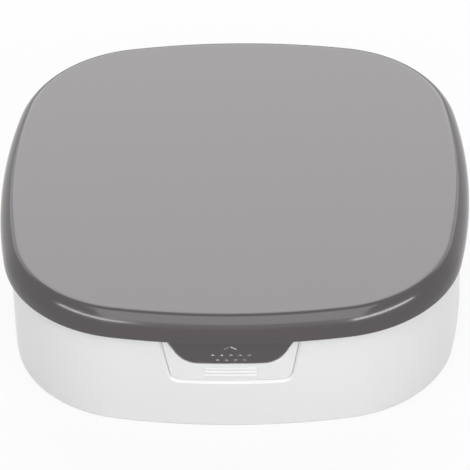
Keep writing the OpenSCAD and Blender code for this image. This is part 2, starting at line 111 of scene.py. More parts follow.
# Base, with the ribs, bosses and screws that hold the latch cover
OVERHANG = HALF - base_high.x
LEDGE = 23.7
LIP_TOP = base_high.z
BASE_WALL = 2.6
INNER = OVERHANG + BASE_WALL
LIP_IN = INNER - 1.2
FLOOR = 2
FOOT_R = 0.8
FLOOR_FILLET = 2
WALL_IN_Y = -(HALF - INNER)
SEAT_RIB_X = (9.4, 10.6)
SEAT_RIB_TOP = 9.3
BOSS_R = 2.5
BOSS_TOP = 14
BOSS_Y = (screws_low.y + screws_high.y) / 2
WEB_T = 1.2
SCREW_HEAD_R = 1.8
SCREW_X = screws_high.x - SCREW_HEAD_R
SCREW_HOLE_R, SCREW_HOLE_DEPTH = 1, 6.5

# Hinge
BARREL_R = base_high.y - HINGE_Y
BORE_R = 0.8
HINGE_HALF = 22
MID_KNUCKLE = (-8, 8)
LID_KNUCKLE = (8.25, 16)
END_KNUCKLE = (16.25, 22)
HEEL_GAP, HEEL_T = 0.15, 2.6

# Tab and its catch. A tab or panel has its half width at the lower edge, the lean of its sides in
# degrees, the height of its lower edge and the radius of its corners. Its faces, like all those on
# the front wall, are arcs about one centre, with radii such as TAB_FACE_R
TAB = dict(half=9.5, lean=31, low=RIM - 6.7, corner=4.9)
TAB_TOP = RIM + 2.6
TAB_FACE_R = 137.25
TAB_BACK_R = TAB_FACE_R - 1.55
CATCH_R = TAB_BACK_R - 0.8
CATCH_Z = TAB["low"] + 0.9

# Press panel
PANEL = dict(half=12.4, lean=10, low=RIM - 11.6, corner=2.3)
PANEL_TOP = button_high.z
PANEL_GAP, PANEL_SIDE_GAP = 0.08, 0.0624
PANEL_FACE_R = SIDE_R - OVERHANG - 0.3
POCKET_GAP = 0.25
FLANGE_R = SIDE_R - INNER - 0.1
FLANGE_BACK_R = FLANGE_R - 1.4
FLANGE_HALF = 15.6
FLANGE_TOP = 21.7
HOOK_R = CATCH_R + 0.7
HOOK_Z = 19.75

# Springs and their seats
SPRING_X = (spring_low.x + spring_high.x) / 2
SPRING_Z = (spring_low.z + spring_high.z) / 2
SPRING_R = (spring_high.x - spring_low.x) / 2
WIRE_R = 0.2
COIL_TURNS = 4
SEAT_Y = BOW - FLANGE_BACK_R + 0.7
SEAT_R = 2.6
PEG_R = 1.45
PEG_LEN = 1.4
STOP_R = 2.5

# Marks: an arrowhead and rows of (height, count) studs on the tab, ribs on the panel
ARROW_FOOT, ARROW_TIP_Z, ARROW_STROKE, ARROW_RISE = (1.2, 20.9), 21.65, 0.46, 0.16
STUD_ROWS, STUD_PITCH, STUD_SIZE, STUD_RISE = ((19.35, 5), (18.1, 4)), 1.9, 0.62, 0.22
MARK_CREST = 0.08
GRIP_TOP, GRIP_PITCH, GRIP_HALF, GRIP_RISE = 15.6, 0.9, 5.4, 0.2


def outline(inset):
    """The case's plan outline at an inset, as an array of points."""
    corner = SIDE_A + (math.pi / 2 - 2 * SIDE_A) * np.arange(CORNER_STEPS + 1) / CORNER_STEPS
    side = math.pi / 2 - SIDE_A + 2 * SIDE_A * np.arange(1, SIDE_STEPS) / SIDE_STEPS
    quarter = np.concatenate([
        np.stack([CORNER_C + (CORNER_R - inset) * np.cos(corner),
                  CORNER_C + (CORNER_R - inset) * np.sin(corner)], 1),
        np.stack([(SIDE_R - inset) * np.cos(side), (SIDE_R - inset) * np.sin(side) - BOW], 1)])
    turns = [np.array([[math.cos(a), math.sin(a)], [-math.sin(a), math.cos(a)]])
             for a in np.arange(4) * math.pi / 2]
    return np.concatenate([quarter @ turn for turn in turns])


def side_y(inset, x):
    """Distance of an inset outline from the centre line, at x along a bowed side."""
    return math.sqrt((SIDE_R - inset) ** 2 - x * x) - BOW


def half_width(inset, y):
    """Half width of an inset outline at distance y from the centre line."""
    if abs(y) < (SIDE_R - inset) * math.sin(SIDE_A):
        return side_y(inset, y)
    return CORNER_C + math.sqrt((CORNER_R - inset) ** 2 - (abs(y) - CORNER_C) ** 2)


def rounded(corners, closed=False):
    """Line through corners (u, v, radius) in which each corner is rounded to its radius. A wide turn
    or a large radius gets more points."""
    line = []
    last = len(corners) - 1
    for i, (u, v, radius) in enumerate(corners):
        if not radius or (not closed and i in (0, last)):
            line.append((u, v))
            continue
        point = Vector((u, v))
        back = (Vector(corners[i - 1][:2]) - point).normalized()
        ahead = (Vector(corners[(i + 1) % (last + 1)][:2]) - point).normalized()
        half = back.angle(ahead) / 2
        centre = point + (back + ahead).normalized() * radius / math.sin(half)
        start = point + back * radius / math.tan(half) - centre
        end = point + ahead * radius / math.tan(half) - centre
        sweep = math.pi - 2 * half
        steps = max(3, round(6 * sweep * math.sqrt(radius)))
        for k in range(steps + 1):
            t = k / steps
            line.append(tuple(centre + (math.sin((1 - t) * sweep) * start + math.sin(t * sweep) * end)
                              / math.sin(sweep)))
    return line


def solid(name, points, faces):
    """A closed mesh object from points in millimetres, with its faces turned outwards."""
    mesh = bpy.data.meshes.new(name)
    mesh.from_pydata([tuple(c * MM for c in p) for p in points], [], faces)
    shape = bmesh.new()
    shape.from_mesh(mesh)
    bmesh.ops.remove_doubles(shape, verts=shape.verts, dist=1e-7)
    bmesh.ops.recalc_face_normals(shape, faces=shape.faces)
    shape.to_mesh(mesh)
    shape.free()
    part = bpy.data.objects.new(name, mesh)
    bpy.context.scene.collection.objects.link(part)
    return part


def loft(name, loops, closed=False):
    """Skins equal loops of points; the ends are capped unless the loops close in a ring."""
    n, m = len(loops[0]), len(loops)
    faces = [(j * n + i, j * n + (i + 1) % n, (j + 1) % m * n + (i + 1) % n, (j + 1) % m * n + i)
             for j in range(m if closed else m - 1) for i in range(n)]
    if not closed:
        faces += [tuple(range(n)), tuple(range((m - 1) * n, m * n))]
    return solid(name, [p for loop in loops for p in loop], faces)


def swept(name, section, closed=False):
    """A section of (inset, height) points swept round the case's outline."""
    return loft(name, [[(x, y, z) for x, y in outline(inset)] for inset, z in section], closed)


def upright(u, v, w, axis):
    """The point (u, v) of a plane, moved w along the plane's axis."""
    return {"x": (w, u, v), "y": (u, w, v), "z": (u, v, w)}[axis]


def prism(name, line, low, high, axis):
    """Extrudes a plan line between two heights on an axis: x takes (y, z), y (x, z) and z (x, y)."""
    return loft(name, [[upright(u, v, w, axis) for u, v in line] for w in (low, high)])


def block(name, low, high):
    """A block between two corners."""
    return prism(name, [(low[0], low[1]), (high[0], low[1]), (high[0], high[1]), (low[0], high[1])],
                 low[2], high[2], "z")


def circle(radius, steps=48, centre=(0, 0), start=0, turn=2 * math.pi):
    """Points on a circle, or on an arc of it if turn is less."""
    count = steps if turn == 2 * math.pi else steps + 1
    return [(centre[0] + radius * math.cos(start + turn * i / steps),
             centre[1] + radius * math.sin(start + turn * i / steps)) for i in range(count)]


def turned(name, profile, centre, axis="z", steps=48):
    """A turned part from (radius, height) points along an axis through a centre."""
    loops = [[Vector(upright(u, v, height, axis)) + Vector(centre) for u, v in circle(radius, steps)]
             for radius, height in profile]
    return loft(name, loops)


def along_wall(name, section, half_angle, steps=24):
    """Bends a section of (radius, height) points along the front wall's arc."""
    angles = [half_angle * (2 * i / steps - 1) for i in range(steps + 1)]
    return loft(name, [[(r * math.sin(a), BOW - r * math.cos(a), z) for r, z in section]
                       for a in angles])


def on_side(side, span):
    """A span of x on the right of the box, or its mirror image if side is -1."""
    return sorted(side * x for x in span)


def on_wall(x, z, r):
    """The point at x and height z on a front wall of radius r."""
    return x, BOW - math.sqrt(r * r - x * x), z


def funnel_rows(half, lean, low, top, corner, grow=0, rise=0):
    """Half widths of a plate that narrows downwards, as (z, half width) rows from its lower edge up."""
    lean = math.radians(lean)
    half += grow / math.cos(lean) - grow * math.tan(lean)
    low, top, corner = low - grow, top + rise, max(corner + grow, 0.01)
    centre = half - corner * math.tan((math.pi / 2 - lean) / 2)
    arc_steps, side_steps = 14, 10
    rows = []
    for k in range(arc_steps + 1):
        a = -math.pi / 2 + (math.pi / 2 - lean) * k / arc_steps
        rows.append((low + corner + corner * math.sin(a), centre + corner * math.cos(a)))
    z, w = rows[-1]
    rows += [(z + (top - z) * k / side_steps, w + (top - z) * k / side_steps * math.tan(lean))
             for k in range(1, side_steps + 1)]
    return rows


def wall_plate(name, shape, top, profile, columns=48):
    """A plate in the front wall, curved like it. The profile gives (radius, grow, rise) from its face
    to its back; the face and the back are grids that follow the wall's arc."""
    points, faces, grids, rim = [], [], [], []
    for r, grow, rise in (profile[0], profile[-1]):
        rows = funnel_rows(top=top, grow=grow, rise=rise, **shape)
        grids.append((len(points), len(rows)))
        for z, w in rows:
            points += [on_wall(w * (2 * c / columns - 1), z, r) for c in range(columns + 1)]
    width = columns + 1
    for start, count in grids:
        faces += [(start + j * width + c, start + j * width + c + 1, start + (j + 1) * width + c + 1,
                   start + (j + 1) * width + c) for j in range(count - 1) for c in range(columns)]
    for r, grow, rise in profile:
        rows = funnel_rows(top=top, grow=grow, rise=rise, **shape)
        loop = [(rows[0][1] * (2 * c / columns - 1), rows[0][0]) for c in range(columns + 1)]
        loop += [(w, z) for z, w in rows[1:]]
        loop += [(rows[-1][1] * (1 - 2 * c / columns), rows[-1][0]) for c in range(1, columns + 1)]
        loop += [(-w, z) for z, w in rows[-2:0:-1]]
        rim.append(len(points))
        points += [on_wall(x, z, r) for x, z in loop]
        n = len(loop)
    for a, b in zip(rim, rim[1:]):
        faces += [(a + i, a + (i + 1) % n, b + (i + 1) % n, b + i) for i in range(n)]
    return solid(name, points, faces)


def fillet_profile(face_r, back_r, radius, outwards=False, steps=5, rise=True):
    """Profile of a wall plate with a filleted edge round its face, or of a cutter that leaves one.
    Without rise the plate's top keeps its height."""
    profile = []
    for k in range(steps + 1):
        a = math.pi / 2 * k / steps
        if outwards:
            profile.append((face_r - radius * math.sin(a), radius * (1 - math.cos(math.pi / 2 - a)), 0))
        else:
            grow = -radius * (1 - math.sin(a))
            profile.append((face_r - radius * (1 - math.cos(a)), grow, grow if rise else 0))
    if outwards:
        profile.insert(0, (face_r + 1.5, radius, 0))
    return profile + [(back_r, 0, 0)]


def bake(part):
    """Applies the part's modifiers to its mesh."""
    bpy.context.view_layer.update()
    deps = bpy.context.evaluated_depsgraph_get()
    mesh = bpy.data.meshes.new_from_object(part.evaluated_get(deps))
    part.modifiers.clear()
    part.data = mesh
    return part


def join(part, *tools, operation="UNION"):
    """Fuses the tools into the part one by one, or does what another operation says."""
    for tool in tools:
        change = part.modifiers.new("join", "BOOLEAN")
        change.operation = operation
        change.solver = "MANIFOLD"
        change.object = tool
        bake(part)
        bpy.data.objects.remove(tool)
    return part


def cut(part, *tools):
    """Cuts the tools out of the part."""
    return join(part, *tools, operation="DIFFERENCE")


def eased(part, width, segments=3, angle=35):
    """Rounds the part's sharp edges."""
    ease = part.modifiers.new("ease", "BEVEL")
    ease.width = width * MM
    ease.segments = segments
    ease.limit_method = "ANGLE"
    ease.angle_limit = math.radians(angle)
    ease.use_clamp_overlap = True
    ease.miter_outer = "MITER_ARC"
    return bake(part)


def smooth(part, angle=32):
    """Shades the part smoothly, apart from edges sharper than the angle in degrees. Where such edges
    are kept, the large faces keep their own direction and the narrow ones beside them blend."""
    part.data.shade_smooth()
    part.data.set_sharp_from_angle(angle=math.radians(angle))
    if angle < 60:
        part.modifiers.new("shade", "WEIGHTED_NORMAL").keep_sharp = True


def finish_piece(part, surface, body, slot, *nodes, angle=32):
    """Gives a made piece its finish, its body and the CAD nodes that it stands for."""
    part.data.materials.clear()
    part.data.materials.append(surface)
    smooth(part, angle)
    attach(part, body)
    if nodes:
        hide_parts(*nodes)
    return part


# Finishes

def linear(colour):
    """Linear RGBA of an sRGB hex colour."""
    parts = [int(colour[i:i + 2], 16) / 255 for i in (1, 3, 5)]
    return [c / 12.92 if c <= 0.04045 else ((c + 0.055) / 1.055) ** 2.4 for c in parts] + [1]


def add(tree, kind, settings=None, **inputs):
    """Adds a node with its settings; each input is a value or another node's socket. An input's name is
    its socket's name with _ for a space, or in_ and its number."""
    node = tree.nodes.new(kind)
    for key, value in (settings or {}).items():
        setattr(node, key, value)
    for key, value in inputs.items():
        socket = node.inputs[int(key[3:]) if key.startswith("in_") else key.replace("_", " ")]
        if isinstance(value, bpy.types.NodeSocket):
            tree.links.new(value, socket)
        else:
            socket.default_value = value
    return node


def new_finish(name):
    """An empty material and its node tree."""
    finish = bpy.data.materials.new(name)
    finish.use_nodes = True
    finish.node_tree.nodes.clear()
    return finish, finish.node_tree


def moulded_plastic(name, colour, roughness, grain, depth, cloud=0.03, ior=1.54, gloss_change=0.04):
    """Injection-moulded plastic. The mould's spark-eroded face gives it a fine grain, whose size and
    depth are in millimetres, and the melt a faint clouding over centimetres."""
    finish, tree = new_finish(name)
    place = add(tree, "ShaderNodeTexCoord").outputs["Object"]
    clouds = add(tree, "ShaderNodeTexNoise", Vector=place, Scale=1 / (18 * MM), Detail=2.0)
    shade = add(tree, "ShaderNodeMapRange", Value=clouds.outputs["Fac"], To_Min=1 - cloud,
                To_Max=1 + cloud)
    base = add(tree, "ShaderNodeVectorMath", {"operation": "SCALE"}, in_0=linear(colour)[:3],
               Scale=shade.outputs["Result"])
    pits = add(tree, "ShaderNodeTexNoise", Vector=place, Scale=1 / (grain * MM), Detail=3.0,
               Roughness=0.6)
    bump = add(tree, "ShaderNodeBump", Height=pits.outputs["Fac"], Distance=depth * MM)
    gloss = add(tree, "ShaderNodeMapRange", Value=pits.outputs["Fac"], To_Min=roughness - gloss_change,
                To_Max=roughness + gloss_change)
    shader = add(tree, "ShaderNodeBsdfPrincipled", Base_Color=base.outputs["Vector"], IOR=ior,
                 Roughness=gloss.outputs["Result"], Normal=bump.outputs["Normal"])
    add(tree, "ShaderNodeOutputMaterial", Surface=shader.outputs["BSDF"])
    return finish


# White ABS with a satin face: soft highlights, no clouding to speak of
white_abs = moulded_plastic("moulded_white_abs", "#DFDFE0", 0.34, 0.25, 0.004, cloud=0.008)
# Warm grey ABS from a polished mould: it mirrors the lights in bands with slightly soft edges
grey_abs = moulded_plastic("moulded_grey_abs", "#464143", 0.15, 0.25, 0.0015, cloud=0.015,
                           gloss_change=0.02)
# Unpigmented ABS of the cover behind the panel: creamier and duller than the case
natural_abs = moulded_plastic("moulded_natural_abs", "#C6C3BC", 0.45, 0.4, 0.008)
# Matte grey polystyrene of the tray, with a coarser grain that kills the gloss
tray_ps = moulded_plastic("moulded_grey_polystyrene", "#8E8B8D", 0.5, 0.4, 0.012)


def drawn_steel(name, colour, roughness, line, along):
    """Bright steel with fine die lines along one axis, drawn coarser than real so that they show."""
    finish, tree = new_finish(name)
    place = add(tree, "ShaderNodeTexCoord").outputs["Object"]
    stretch = [0.02 if axis == along else 1 for axis in "xyz"]
    lines = add(tree, "ShaderNodeMapping", Vector=place, Scale=stretch)
    marks = add(tree, "ShaderNodeTexNoise", Vector=lines.outputs["Vector"], Scale=1 / (line * MM),
                Detail=2.0)
    gloss = add(tree, "ShaderNodeMapRange", Value=marks.outputs["Fac"], To_Min=roughness - 0.08,
                To_Max=roughness + 0.08)
    bump = add(tree, "ShaderNodeBump", Height=marks.outputs["Fac"], Distance=0.002 * MM)
    shader = add(tree, "ShaderNodeBsdfPrincipled", Base_Color=linear(colour), Metallic=1.0,
                 Roughness=gloss.outputs["Result"], Normal=bump.outputs["Normal"])
    add(tree, "ShaderNodeOutputMaterial", Surface=shader.outputs["BSDF"])
    return finish


# Drawn spring and hinge steel: bright, with lines along the wire
steel_wire = drawn_steel("drawn_spring_steel", "#C9C9CB", 0.25, 0.12, "y")
steel_pin = drawn_steel("drawn_pin_steel", "#C4C4C6", 0.28, 0.12, "x")
# Zinc-plated screws: a little warmer and duller
zinc_plate = drawn_steel("zinc_plated_steel", "#CDCBC6", 0.32, 0.2, "z")


def silvered_glass():
    """Float glass silvered behind: a clean mirror with the faintest green and no grain."""
    finish, tree = new_finish("silvered_float_glass")
    place = add(tree, "ShaderNodeTexCoord").outputs["Object"]
    haze = add(tree, "ShaderNodeTexNoise", Vector=place, Scale=1 / (9 * MM), Detail=4.0)
    gloss = add(tree, "ShaderNodeMapRange", Value=haze.outputs["Fac"], To_Min=0.01, To_Max=0.03)
    shader = add(tree, "ShaderNodeBsdfPrincipled", Base_Color=linear("#E4EBE8"), Metallic=1.0,
                 Roughness=gloss.outputs["Result"])
    add(tree, "ShaderNodeOutputMaterial", Surface=shader.outputs["BSDF"])
    return finish


def closed_foam():
    """White polyethylene foam tape: matte, with small closed cells."""
    finish, tree = new_finish("closed_cell_foam")
    place = add(tree, "ShaderNodeTexCoord").outputs["Object"]
    cells = add(tree, "ShaderNodeTexVoronoi", Vector=place, Scale=1 / (0.35 * MM))
    bump = add(tree, "ShaderNodeBump", Height=cells.outputs["Distance"], Distance=0.03 * MM)
    shader = add(tree, "ShaderNodeBsdfPrincipled", Base_Color=linear("#E6E6E2"), Roughness=0.85,
                 Normal=bump.outputs["Normal"])
    add(tree, "ShaderNodeOutputMaterial", Surface=shader.outputs["BSDF"])
    return finish


def velvet(name, colour):
    """Short-pile velvet. The pile's tips give a soft sheen at the edges. A painted sheen lies in paler
    and darker patches along the strokes of the nap, and painted light and shade make the fibres' tips
    paler and the hollows between them darker. The fibres are drawn at 0.15 mm, coarser than real, so
    that they show."""
    finish, tree = new_finish(name)
    place = add(tree, "ShaderNodeTexCoord").outputs["Object"]
    nap = add(tree, "ShaderNodeMapping", Vector=place, Scale=(1, 0.45, 1), Rotation=(0, 0, 0.5))
    # Painted sheen: the nap's patches are made paler and darker in the base colour
    nap_sheen_strokes = add(tree, "ShaderNodeTexNoise", Vector=nap.outputs["Vector"], Scale=1 / (7 * MM),
                  Detail=3.0, Distortion=0.6)
    fibres = add(tree, "ShaderNodeTexNoise", Vector=place, Scale=1 / (0.15 * MM), Detail=2.0)
    painted_nap_sheen = add(tree, "ShaderNodeMapRange", Value=nap_sheen_strokes.outputs["Fac"], From_Min=0.35, From_Max=0.65,
                To_Min=0.86, To_Max=1.14)
    # Painted light and shade: the same noise that raises the fibres' tips in the bump makes them paler,
    # and the hollows between them darker
    painted_tip_light = add(tree, "ShaderNodeMapRange", Value=fibres.outputs["Fac"], From_Min=0.3, From_Max=0.7,
               To_Min=0.75, To_Max=1.25)
    painted_sheen_and_tip_light = add(tree, "ShaderNodeMath", {"operation": "MULTIPLY"}, in_0=painted_nap_sheen.outputs["Result"],
                      in_1=painted_tip_light.outputs["Result"])
    base = add(tree, "ShaderNodeVectorMath", {"operation": "SCALE"}, in_0=linear(colour)[:3],
               Scale=painted_sheen_and_tip_light.outputs["Value"])
    bump = add(tree, "ShaderNodeBump", Height=fibres.outputs["Fac"], Distance=0.06 * MM)
    shader = add(tree, "ShaderNodeBsdfPrincipled", Base_Color=base.outputs["Vector"], Roughness=0.95,
                 Sheen_Weight=0.6, Sheen_Roughness=0.35, Sheen_Tint=linear("#B9B4B7"),
                 Normal=bump.outputs["Normal"])
    add(tree, "ShaderNodeOutputMaterial", Surface=shader.outputs["BSDF"])
    return finish


mirror_silver = silvered_glass()
foam = closed_foam()
pile = velvet("short_pile_velvet", "#6F6A6D")


# Base

def base_knuckle(name, x0, x1):
    """A knuckle with its gusset down to the back wall."""
    lean = math.radians(50)
    root = side_y(OVERHANG, HINGE_HALF) - 0.5
    ring = circle(BARREL_R, 30, (HINGE_Y, HINGE_Z), math.pi / 2, lean - math.pi)
    foot_y, foot_z = ring[-1]
    line = [(root, HINGE_Z + BARREL_R)] + ring + [(root, foot_z - (foot_y - root) * math.tan(lean))]
    return eased(prism(name, line, x0, x1, "x"), 0.15)


def hinge_bore():
    """What the hinge pin's bore takes out."""
    return turned("bore", [(BORE_R, -HINGE_HALF - OVER), (BORE_R, HINGE_HALF + OVER)],
                  (0, HINGE_Y, HINGE_Z), "x")


base = swept("base_case", rounded([
    (INNER + MIDDLE, 0, 0), (OVERHANG, 0, FOOT_R), (OVERHANG, LEDGE, 0.2), (LIP_IN, LEDGE, 0.15),
    (LIP_IN, LIP_TOP, 0.3), (INNER, LIP_TOP, 0.3), (INNER, FLOOR, FLOOR_FILLET),
    (INNER + MIDDLE, FLOOR, 0)]))
for side in (-1, 1):
    rib = on_side(side, SEAT_RIB_X)
    web = on_side(side, (SCREW_X - WEB_T / 2, SCREW_X + WEB_T / 2))
    end = on_side(side, END_KNUCKLE)
    boss_at = (side * SCREW_X, BOSS_Y, 0)
    root_y, root_z = WALL_IN_Y - 0.5, FLOOR - SINK
    join(base,
         block("rib", (rib[0], root_y, root_z), (rib[1], cover_low.y + 2.8, SEAT_RIB_TOP)),
         turned("boss", [(BOSS_R, root_z), (BOSS_R, BOSS_TOP)], boss_at),
         block("web", (web[0], root_y, root_z), (web[1], BOSS_Y - 1.4, BOSS_TOP - 0.5)),
         base_knuckle("end_knuckle", *end))
    cut(base, turned("screw_hole", [(SCREW_HOLE_R, BOSS_TOP - SCREW_HOLE_DEPTH),
                                    (SCREW_HOLE_R, BOSS_TOP + OVER)], boss_at))
join(base, base_knuckle("middle_knuckle", *MID_KNUCKLE))
# The press panel's opening has a fillet round its face
opening = wall_plate("opening", PANEL, LIP_TOP + OVER,
                     fillet_profile(SIDE_R - OVERHANG, FLANGE_BACK_R - 3, 0.5, outwards=True))
cut(base, opening, hinge_bore())
finish_piece(base, white_abs, "base", "white_plastic", "base_shell")


# Lid

def raised(name, foot, top, rise):
    """A raised mark on the tab, from its outlines (x, z) at the tab's face and at its own crest."""
    return loft(name, [[on_wall(x, z, r) for x, z in line] for r, line in (
        (TAB_FACE_R - 0.3, foot), (TAB_FACE_R, foot), (TAB_FACE_R + rise, top))])


def arrow_leg(side, stroke):
    """Outline of one leg of the arrowhead that points up."""
    foot, tip = Vector((side * ARROW_FOOT[0], ARROW_FOOT[1])), Vector((0, ARROW_TIP_Z))
    across = (tip - foot).orthogonal().normalized() * stroke / 2
    return [foot - across, foot + across, tip + across, tip - across]


def diamond(x, z, size):
    """Outline of a diamond that is wider than high."""
    return [(x - size, z), (x, z - 0.6 * size), (x + size, z), (x, z + 0.6 * size)]


def lid_knuckle(name, x0, x1):
    """A lid knuckle with its web up to the rim."""
    web_y, web_top = HALF - OVERHANG, RIM + 2.8
    root = web_y - 0.6
    ring = circle(BARREL_R, 30, (HINGE_Y, HINGE_Z), 0, -math.pi)
    line = ring + [(HINGE_Y - BARREL_R, RIM), (root, RIM), (root, web_top), (web_y, web_top),
                   (HINGE_Y + BARREL_R, HINGE_Z + BARREL_R / 2)]
    return eased(prism(name, line, x0, x1, "x"), 0.15)


def lid_heel(name, x0, x1):
    """The heel that lies along the back wall, HEEL_GAP off it, when the lid is open."""
    turn = Matrix.Rotation(OPEN_ANGLE - math.pi / 2, 2)
    reach = HINGE_Y - side_y(OVERHANG, LID_KNUCKLE[0]) - HEEL_GAP
    line = [tuple(turn @ Vector(p) + Vector((HINGE_Y, HINGE_Z)))
            for p in ((0, -reach), (HEEL_T, -reach), (HEEL_T, 0), (0, 0))]
    return eased(prism(name, line, x0, x1, "x"), 0.12)


def roll_line(radius, flat, edge):
    """The lid's side from its rim up: a roll that meets the flat in a rounded edge."""
    rise = flat - edge - RIM - SKIRT
    run = math.sqrt((radius - edge) ** 2 - rise ** 2)
    meet = math.pi - math.atan2(rise, run)
    return (circle(radius, 20, (ROLL_R, RIM + SKIRT), math.pi, meet - math.pi)
            + circle(edge, 12, (ROLL_R - run, flat - edge), meet, math.pi / 2 - meet)[1:])


rim_line = rounded([(LID_WALL, RIM + 1, 0), (LID_WALL, RIM, 0.15),
                    (0, RIM, SKIRT), (0, RIM + 1, 0)])[1:-1]
lid = swept("lid_case", [(ROLL_R + 6, CEILING)] + roll_line(ROLL_R - LID_WALL, CEILING, 1)[::-1]
            + rim_line + roll_line(ROLL_R, TOP, EDGE_R)[1:] + [(ROLL_R + 6, TOP)])
tab = wall_plate("tab", TAB, TAB_TOP, fillet_profile(TAB_FACE_R, TAB_BACK_R, 0.3, rise=False))
join(tab, along_wall("catch", [
    (TAB_BACK_R + SINK, CATCH_Z - SINK), (CATCH_R, CATCH_Z + 0.9), (CATCH_R, CATCH_Z + 1.6),
    (TAB_BACK_R + SINK, CATCH_Z + 1.6)], math.radians(2.6)))
for side in (-1, 1):
    join(tab, raised("arrow", arrow_leg(side, ARROW_STROKE), arrow_leg(side, MARK_CREST), ARROW_RISE))
for z, count in STUD_ROWS:
    for k in range(count):
        x = STUD_PITCH * (k - (count - 1) / 2)
        join(tab, raised("stud", diamond(x, z, STUD_SIZE), diamond(x, z, MARK_CREST), STUD_RISE))
join(lid, tab)
for side in (-1, 1):
    span = on_side(side, LID_KNUCKLE)
    join(lid, lid_knuckle("lid_knuckle", *span), lid_heel("heel", *span))
cut(lid, hinge_bore())
finish_piece(lid, grey_abs, "lid", "grey_plastic", "lid_shell")

# Hinge pin with chamfered ends
pin_r, pin_end, chamfer = (pin_high.z - pin_low.z) / 2, pin_high.x, 0.25
pin = turned("hinge_rod", [(pin_r - chamfer, -pin_end), (pin_r, -pin_end + chamfer),
                           (pin_r, pin_end - chamfer), (pin_r - chamfer, pin_end)],
             (0, HINGE_Y, HINGE_Z), "x", 32)
finish_piece(pin, steel_pin, "base", "steel", "hinge_pin")


# Press panel

plate_shape = dict(PANEL, half=PANEL["half"] - PANEL_SIDE_GAP, low=PANEL["low"] + PANEL_GAP,
                   corner=PANEL["corner"] - PANEL_GAP)
panel = wall_plate("press_panel", plate_shape, PANEL_TOP,
                   fillet_profile(PANEL_FACE_R, FLANGE_R - SINK, 0.25))
pocket = wall_plate("pocket", TAB, TAB_TOP, [
    (PANEL_FACE_R + 2, POCKET_GAP + 0.2, 0), (PANEL_FACE_R, POCKET_GAP + 0.2, 0),
    (PANEL_FACE_R - 0.06, POCKET_GAP + 0.08, 0), (PANEL_FACE_R - 0.2, POCKET_GAP, 0),
    (FLANGE_R, POCKET_GAP, 0)])
cut(panel, pocket)
join(panel, along_wall("flange", rounded([
    (FLANGE_BACK_R, button_low.z, 0.2), (FLANGE_R, button_low.z, 0.2), (FLANGE_R, FLANGE_TOP, 0.2),
    (FLANGE_BACK_R, FLANGE_TOP, 0.2)], True), math.asin(FLANGE_HALF / FLANGE_R), 40))
# The hook's upper side slopes at 45 degrees, so that the catch can ride over it
hook_root, hook_edge = FLANGE_R - SINK, HOOK_Z + 0.55
join(panel, along_wall("hook", [
    (hook_root, HOOK_Z), (HOOK_R, HOOK_Z), (HOOK_R, hook_edge),
    (hook_root, hook_edge + HOOK_R - hook_root)], math.radians(2.4)))


def round_boss(name, radius, root_y, end_y, chamfer, x):
    """A round boss behind the panel, at the springs' height and with a chamfered end."""
    return turned(name, [(radius, root_y), (radius, end_y - chamfer), (radius - chamfer, end_y)],
                  (x, 0, SPRING_Z), "y")


seat_root = SEAT_Y - 1.2
for side in (-1, 1):
    x = side * SPRING_X
    join(panel,
         round_boss("seat", SEAT_R, seat_root, SEAT_Y, 0.15, x),
         round_boss("peg", PEG_R, SEAT_Y - 0.3, SEAT_Y + PEG_LEN, 0.3, x))
join(panel, round_boss("stop", STOP_R, seat_root, button_high.y, 0.2, 0))
for k in range(3):
    z, crest_r = GRIP_TOP - GRIP_PITCH * k, PANEL_FACE_R + GRIP_RISE
    section = rounded([(PANEL_FACE_R - 0.3, z - 0.3, 0), (crest_r, z - 0.16, 0.06),
                       (crest_r, z - 0.06, 0.06), (PANEL_FACE_R - 0.3, z + 0.74, 0)])
    join(panel, along_wall("grip_rib", section, math.asin(GRIP_HALF / PANEL_FACE_R), 16))
finish_piece(panel, white_abs, "button", "white_plastic", "latch_button")


# Springs, latch cover and screws

def coil(name, centre, radius, wire_r, y0, y1, turns, steps=40, sides=12):
    """Round wire wound about a line along y. At each end part of a turn lies flat on the last."""
    flat = 0.75
    pitch = (y1 - y0 - 2 * wire_r * (1 + 2 * flat)) / (turns - 2 * flat)
    count = round(turns * steps)
    loops = []
    for i in range(count + 1):
        t = turns * i / count
        climb = 2 * wire_r * min(t, flat) + pitch * min(max(t - flat, 0), turns - 2 * flat)
        climb += 2 * wire_r * max(t - turns + flat, 0)
        a = 2 * math.pi * t
        ring = []
        for k in range(sides):
            s = 2 * math.pi * k / sides
            r = radius + wire_r * math.cos(s)
            ring.append((centre[0] + r * math.cos(a), y0 + wire_r + climb + wire_r * math.sin(s),
                         centre[1] + r * math.sin(a)))
        loops.append(ring)
    return loft(name, loops)


for name, side in (("spring_left", -1), ("spring_right", 1)):
    spring = coil(name, (side * SPRING_X, SPRING_Z), SPRING_R - WIRE_R, WIRE_R,
                  spring_low.y, spring_high.y, COIL_TURNS)
    finish_piece(spring, steel_wire, "base", "steel", name.replace("spring", "button_spring"), angle=60)
    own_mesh(spring)


